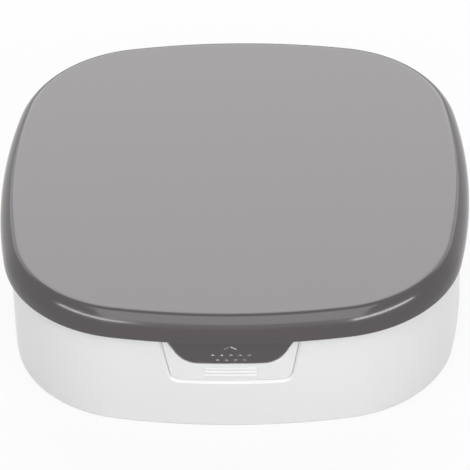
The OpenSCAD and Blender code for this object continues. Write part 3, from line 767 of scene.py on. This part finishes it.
def cover_screw(side):
    """A pan-head screw with a cross recess and a coarse thread for plastic."""
    x = SCREW_X * side
    head_low, head_high = screws_high.z - 1.3, screws_high.z
    neck_r, core_r, thread, pitch = 0.95, 0.72, 0.22, 0.62
    head = turned("screw", [
        (neck_r, head_low - 1), (neck_r, head_low), (SCREW_HEAD_R, head_low),
        (SCREW_HEAD_R, head_low + 0.55), (1.66, head_low + 0.95), (1.3, head_low + 1.2),
        (0.7, head_high), (0.05, head_high)], (x, BOSS_Y, 0))
    for turn in (0, 90):
        slot = prism("recess", [(-1.15, 0.1), (-0.6, -0.75), (0.6, -0.75), (1.15, 0.1)],
                     -0.27, 0.27, "y")
        slot.data.transform(Matrix.Translation(Vector((x, BOSS_Y, head_high)) * MM)
                            @ Matrix.Rotation(math.radians(turn + 20 * side), 4, "Z"))
        cut(head, slot)
    shank = []
    rings, sides = 336, 24
    for i in range(rings + 1):
        up = (head_low - 0.6 - screws_low.z) * i / rings
        tip = min(1, up / 0.9 + 0.35)
        shank.append([])
        for k in range(sides):
            a = 2 * math.pi * k / sides
            crest = max(0, 1 - abs((up / pitch - k / sides) % 1 - 0.5) * 5)
            r = (core_r + thread * crest) * tip
            shank[-1].append((x + r * math.cos(a), BOSS_Y + r * math.sin(a), screws_low.z + up))
    join(head, loft("shank", shank))
    return head


for name, side in (("screw_left", -1), ("screw_right", 1)):
    screw = cover_screw(side)
    screw.name = name
    finish_piece(screw, zinc_plate, "base", "steel", "cover_screws", angle=40)


def dress_node(name, surface, ease=0):
    """Gives a CAD node its finish, and rounds its edges by ease with modifiers."""
    part = frame["nodes"][name]
    part.data.materials.clear()
    part.data.materials.append(surface)
    if ease:
        part.modifiers.new("weld", "WELD").merge_threshold = 0.001 * MM
        bevel = part.modifiers.new("ease", "BEVEL")
        bevel.width, bevel.segments = ease * MM, 2
        bevel.limit_method, bevel.angle_limit = "ANGLE", math.radians(40)
        part.modifiers.new("shade", "WEIGHTED_NORMAL").keep_sharp = True


dress_node("latch_cover", natural_abs, 0.25)


# Mirror

MIRROR_INSET = 11.8
FRAME_OUT, FRAME_T = 7.4, 1.2
LIP = MIRROR_INSET + 1.4
POCKET = MIRROR_INSET - 0.2
LIP_BACK = frame_low.z + 0.8
ring = swept("mirror_ring", rounded([
    (LIP, frame_low.z, 0.3), (FRAME_OUT, frame_low.z, 0.7), (FRAME_OUT, CEILING, 0),
    (FRAME_OUT + FRAME_T, CEILING, 0), (FRAME_OUT + FRAME_T, LIP_BACK, 0),
    (POCKET - FRAME_T, LIP_BACK, 0), (POCKET - FRAME_T, CEILING, 0), (POCKET, CEILING, 0),
    (POCKET, LIP_BACK, 0), (LIP, LIP_BACK, 0.2)], closed=True), closed=True)
finish_piece(ring, white_abs, "lid", "white_plastic", "mirror_frame")
glass = swept("mirror_plate", rounded([
    (MIRROR_INSET + 4, mirror_low.z, 0), (MIRROR_INSET, mirror_low.z, 0.15),
    (MIRROR_INSET, mirror_high.z, 0.15), (MIRROR_INSET + 4, mirror_high.z, 0)]))
finish_piece(glass, mirror_silver, "lid", "mirror_glass", "mirror")
dress_node("mirror_pad", foam)


# Tray

TRAY_OUT, TRAY_WALL = HALF - tray_high.x, 1.4
TRAY_IN = TRAY_OUT + TRAY_WALL
BAY_FLOOR = lining_low.z
HOUSING_HALF, HOUSING_Y = 23.8, -36.6
BAY_FRONT = HOUSING_Y + TRAY_WALL
PARTITION = (3.4, 5.0)
PARTITION_TOP = divider_high.z
SLOT_RIB, SLOT_PLAY = 1.2, 0.1
# The middles of the two ribs that hold a divider
SLOT_RIB_X = (divider_low.x - SLOT_PLAY - SLOT_RIB / 2, divider_high.x + SLOT_PLAY + SLOT_RIB / 2)

tray = swept("tray_body", rounded([
    (TRAY_IN + MIDDLE, tray_low.z, 0), (TRAY_OUT, tray_low.z, 2.4), (TRAY_OUT, tray_high.z, 0.35),
    (TRAY_IN, tray_high.z, 0.35), (TRAY_IN, BAY_FLOOR, 1), (TRAY_IN + MIDDLE, BAY_FLOOR, 0)]))


def within_tray(part):
    """Trims a part to the middle of the tray's wall."""
    reach = prism("reach", outline(TRAY_OUT + TRAY_WALL / 2), 0, TOP, "z")
    return join(part, reach, operation="INTERSECT")


sunk = BAY_FLOOR - SINK
join(tray, within_tray(block("housing", (-HOUSING_HALF - TRAY_WALL, -HALF, sunk),
                             (HOUSING_HALF + TRAY_WALL, BAY_FRONT, tray_high.z))))
partition = within_tray(block("partition", (-HALF, PARTITION[0], sunk),
                              (HALF, PARTITION[1], PARTITION_TOP)))
for side in (-1, 1):
    for rib_x in reversed(SLOT_RIB_X):
        for holder, y0, y1 in ((tray, BAY_FRONT - SINK, BAY_FRONT + SLOT_RIB),
                               (partition, PARTITION[0] - SLOT_RIB, PARTITION[0] + SINK)):
            join(holder, block("slot_rib", (side * rib_x - SLOT_RIB / 2, y0, sunk),
                               (side * rib_x + SLOT_RIB / 2, y1, PARTITION_TOP)))
join(tray, partition)
cut(tray, block("housing_room", (-HOUSING_HALF, -HALF, -OVER), (HOUSING_HALF, HOUSING_Y, TOP)))
eased(tray, 0.25, 2, 50)
finish_piece(tray, tray_ps, "base", "tray_plastic", "compartment_tray")

# Dividers, each with a finger scoop in its upper edge
SCOOP_R, SCOOP_CENTRE = 7, 3.5
y0, y1 = divider_low.y, divider_high.y
dip = math.acos(SCOOP_CENTRE / SCOOP_R)
arc = [((y0 + y1) / 2 + SCOOP_R * math.sin(a), PARTITION_TOP + SCOOP_CENTRE - SCOOP_R * math.cos(a))
       for a in np.linspace(-dip, dip, 25)]
line = [(y0, BAY_FLOOR), (y0, PARTITION_TOP)] + arc + [(y1, PARTITION_TOP), (y1, BAY_FLOOR)]
for name, side in (("divider_left", -1), ("divider_right", 1)):
    span = on_side(side, (divider_low.x, divider_high.x))
    plate = eased(prism(name + "_plate", line, *span, "x"), 0.2, 3, 25)
    finish_piece(plate, tray_ps, "base", "tray_plastic", name)


# Velvet

CLOTH_SCALE = 20
CLOTH_FRAMES = 20
SWELL = 0.6
PAD_GAP = 0.3
PAD_INSET = TRAY_IN + 1.3
PAD_LOW = BAY_FLOOR + 0.02


def soft(part, voxel, passes=3):
    """Remeshes a pad in voxels of the given size in millimetres and relaxes its edges as cloth does."""
    fine = part.modifiers.new("fine", "REMESH")
    fine.mode, fine.voxel_size = "VOXEL", voxel * MM
    relax = part.modifiers.new("relax", "SMOOTH")
    relax.factor, relax.iterations = 0.6, passes
    return bake(part)


def points_of(part):
    """The part's points as an array of rows, in metres."""
    flat = np.empty(len(part.data.vertices) * 3)
    part.data.vertices.foreach_get("co", flat)
    return flat.reshape(-1, 3)


def stuffed(part, voxel, pressure, glued_z):
    """Blows a pad up as cloth over its foam. It is enlarged by CLOTH_SCALE for this, because Blender's
    cloth settles badly at a few millimetres. Points below glued_z stay where they are glued down, and
    none moves further than SWELL."""
    part = soft(part, voxel, 1)
    start = points_of(part)
    part.data.transform(Matrix.Scale(CLOTH_SCALE, 4))
    glued = part.vertex_groups.new(name="glued")
    glued.add([int(i) for i in np.nonzero(start[:, 2] < glued_z * MM)[0]], 1, "REPLACE")
    cloth = part.modifiers.new("cloth", "CLOTH")
    velvet_cloth = dict(
        quality=6, mass=0.3, tension_stiffness=12, compression_stiffness=12, shear_stiffness=6,
        bending_stiffness=0.6, vertex_group_mass=glued.name,
        use_pressure=True, uniform_pressure_force=pressure)
    for key, value in velvet_cloth.items():
        setattr(cloth.settings, key, value)
    cloth.settings.effector_weights.gravity = 0
    cloth.collision_settings.use_collision = False
    cloth.point_cache.frame_start, cloth.point_cache.frame_end = 1, CLOTH_FRAMES
    for frame_number in range(1, CLOTH_FRAMES + 1):
        bpy.context.scene.frame_set(frame_number)
    bake(part)
    bpy.context.scene.frame_set(1)
    part.vertex_groups.clear()
    part.data.transform(Matrix.Scale(1 / CLOTH_SCALE, 4))
    move = points_of(part) - start
    length = np.maximum(np.linalg.norm(move, axis=1, keepdims=True), 1e-9)
    part.data.vertices.foreach_set("co", (start + move * np.minimum(1, SWELL * MM / length)).ravel())
    part.data.update()
    return part


def side_pad(side):
    """Outline of the pad of a side compartment, cut round the latch cover's housing."""
    x0 = SLOT_RIB_X[1] + SLOT_RIB / 2 + PAD_GAP
    room_x, room_y = HOUSING_HALF + TRAY_WALL + PAD_GAP, BAY_FRONT + PAD_GAP
    y1 = PARTITION[0] - PAD_GAP
    edge = sorted([(x, y) for x, y in outline(PAD_INSET) if x > room_x and y < y1],
                  key=lambda point: point[1])
    line = [(room_x, edge[0][1]), *edge, (half_width(PAD_INSET, y1), y1),
            (x0, y1), (x0, room_y), (room_x, room_y)]
    return [(side * x, y) for x, y in line]


centre_pad = [(centre_low.x, centre_low.y), (centre_high.x, centre_low.y),
              (centre_high.x, centre_high.y), (centre_low.x, centre_high.y)]
for where, line in (("left", side_pad(-1)), ("right", side_pad(1)), ("centre", centre_pad)):
    pad = stuffed(prism(f"lining_pad_{where}", line, PAD_LOW, lining_high.z, "z"),
                  0.5, 0.6, BAY_FLOOR + 0.5)
    finish_piece(pad, pile, "base", "velvet", f"lining_{where}", angle=180)

bed_y = PARTITION[1] + PAD_GAP
bed_half = half_width(PAD_INSET, bed_y)
bed_edge = sorted([(x, y) for x, y in outline(PAD_INSET) if y > bed_y],
                  key=lambda point: math.atan2(point[1], point[0]))
bed = soft(prism("roll_bed", [(bed_half, bed_y)] + bed_edge + [(-bed_half, bed_y)],
                 PAD_LOW, bed_high.z + 0.05, "z"), 0.4)
finish_piece(bed, pile, "base", "velvet", "ring_bed", angle=180)


def ring_roll(index):
    """A foam roll covered in velvet, with rounded ends."""
    low, high = box_mm(f"ring_roll_{index}")
    r = (high.y - low.y) / 2 - SWELL
    middle, top, reach = (low.y + high.y) / 2, high.z - r - 0.2, high.x - r - SWELL / 2
    end_steps = 12
    loops = []
    for k in range(-end_steps, end_steps + 1):
        a = math.pi / 2 * k / end_steps
        x = (reach if k > 0 else -reach) + r * math.sin(a) if k else 0
        wide = max(r * math.cos(a), 0.05)
        arch = circle(wide, 24, (middle, top), 0, math.pi)
        loops.append([(x, y, z) for y, z in arch + [(middle - wide, low.z), (middle + wide, low.z)]])
    roll = stuffed(loft(f"velvet_roll_{index}", loops), 0.7, 4, low.z + 0.4)
    finish_piece(roll, pile, "base", "velvet", f"ring_roll_{index}", angle=180)


for index in range(1, 5):
    ring_roll(index)


# Floor, light and camera

def seen(tree):
    """1 for what the eye sees directly, in a reflection or through glass."""
    path = add(tree, "ShaderNodeLightPath").outputs
    seen_or_mirrored = add(tree, "ShaderNodeMath", {"operation": "MAXIMUM"}, in_0=path["Is Camera Ray"],
                           in_1=path["Is Glossy Ray"])
    every_way = add(tree, "ShaderNodeMath", {"operation": "MAXIMUM"},
                    in_0=seen_or_mirrored.outputs["Value"], in_1=path["Is Transmission Ray"])
    return every_way.outputs["Value"]


floor = block("floor", (-2500, -2500, -1.01), (2500, 2500, -0.01))
# White paper: near the box it takes shadows, and further out it fades to the white of the backdrop
paper, tree = new_finish("white_paper_sweep")
spread = add(tree, "ShaderNodeVectorMath", {"operation": "LENGTH"},
             in_0=add(tree, "ShaderNodeTexCoord").outputs["Object"])
fade = add(tree, "ShaderNodeMapRange", Value=spread.outputs["Value"], From_Min=100 * MM,
           From_Max=400 * MM, To_Min=0.88, To_Max=1.0)
glow_share = add(tree, "ShaderNodeMath", {"operation": "MULTIPLY"}, in_0=seen(tree),
                 in_1=fade.outputs["Result"])
shaded = add(tree, "ShaderNodeBsdfDiffuse", Color=linear("#DADADA"))
glow = add(tree, "ShaderNodeEmission", Color=linear("#FFFFFF"), Strength=1.0)
mix = add(tree, "ShaderNodeMixShader", Fac=glow_share.outputs["Value"], in_1=shaded.outputs["BSDF"],
          in_2=glow.outputs["Emission"])
add(tree, "ShaderNodeOutputMaterial", Surface=mix.outputs["Shader"])
floor.data.materials.append(paper)

world = bpy.data.worlds.new("studio")
bpy.context.scene.world = world
world.use_nodes = True
tree = world.node_tree
tree.nodes.clear()
level = add(tree, "ShaderNodeMapRange", Value=seen(tree), To_Min=0.12, To_Max=1.0)
sky = add(tree, "ShaderNodeBackground", Color=linear("#FFFFFF"), Strength=level.outputs["Result"])
add(tree, "ShaderNodeOutputWorld", Surface=sky.outputs["Background"])


def softbox(name, azimuth, elevation, width, height, radiance, distance=700):
    """A soft area lamp that faces the box. Azimuth 0 is in front of it and 90 on its right. Width and
    height are the angles that it fills, in degrees, and the distance is in millimetres."""
    az, el = math.radians(azimuth), math.radians(elevation)
    toward = Vector((math.sin(az) * math.cos(el), -math.cos(az) * math.cos(el), math.sin(el)))
    lamp = bpy.data.lights.new(name, "AREA")
    lamp.shape = "RECTANGLE"
    lamp.size = 2 * distance * math.tan(math.radians(width) / 2) * MM
    lamp.size_y = 2 * distance * math.tan(math.radians(height) / 2) * MM
    lamp.energy = radiance * math.pi * lamp.size * lamp.size_y
    stand = bpy.data.objects.new(name, lamp)
    stand.location = toward * distance * MM
    stand.rotation_euler = toward.to_track_quat("Z", "Y").to_euler()
    stand.visible_camera = False
    bpy.context.scene.collection.objects.link(stand)


# Those behind show in the lid's flat top, the high one in front in its roll, and those at the sides
# in its corners
softbox("back_wide", 180, 39, 96, 46, 1.45)
softbox("back_core", 180, 44, 50, 50, 1.85)
softbox("front_high", 0, 55, 56, 48, 2.15)
softbox("front_fill", 0, 24, 60, 14, 0.5)
softbox("left_light", -43, 25, 42, 5, 10)
softbox("right_light", 47, 24, 46, 5, 12)


def photo_camera():
    """The camera as fitted to the photograph: a long lens, from above and in front."""
    el, az, roll = math.radians(38.5), math.radians(2.28), math.radians(-1.64)
    target = Vector((-0.2, -0.42, 15))
    distance, focal_px, centre_py, frame_px, sensor = 787.06, 3652.12, 226.55, 470, 36
    back = Vector((math.sin(az) * math.cos(el), -math.cos(az) * math.cos(el), math.sin(el)))
    right = Vector((math.cos(az), math.sin(az), 0))
    up = back.cross(right)
    right, up = (math.cos(roll) * right + math.sin(roll) * up,
                 math.cos(roll) * up - math.sin(roll) * right)
    eye = (target + back * distance) * MM
    drop = frame_px / 2 - centre_py
    back = (back * focal_px + up * drop).normalized()
    up = back.cross(right)
    lens = bpy.data.cameras.new("photo_view")
    lens.sensor_width = sensor
    lens.lens = sensor * focal_px / frame_px
    lens.clip_start, lens.clip_end = 0.05, 20
    camera = bpy.data.objects.new("photo_view", lens)
    camera.matrix_world = Matrix.Translation(eye) @ Matrix((right, up, back)).transposed().to_4x4()
    bpy.context.scene.collection.objects.link(camera)
    bpy.context.scene.camera = camera


photo_camera()
bpy.context.scene.view_settings.view_transform = "Standard"
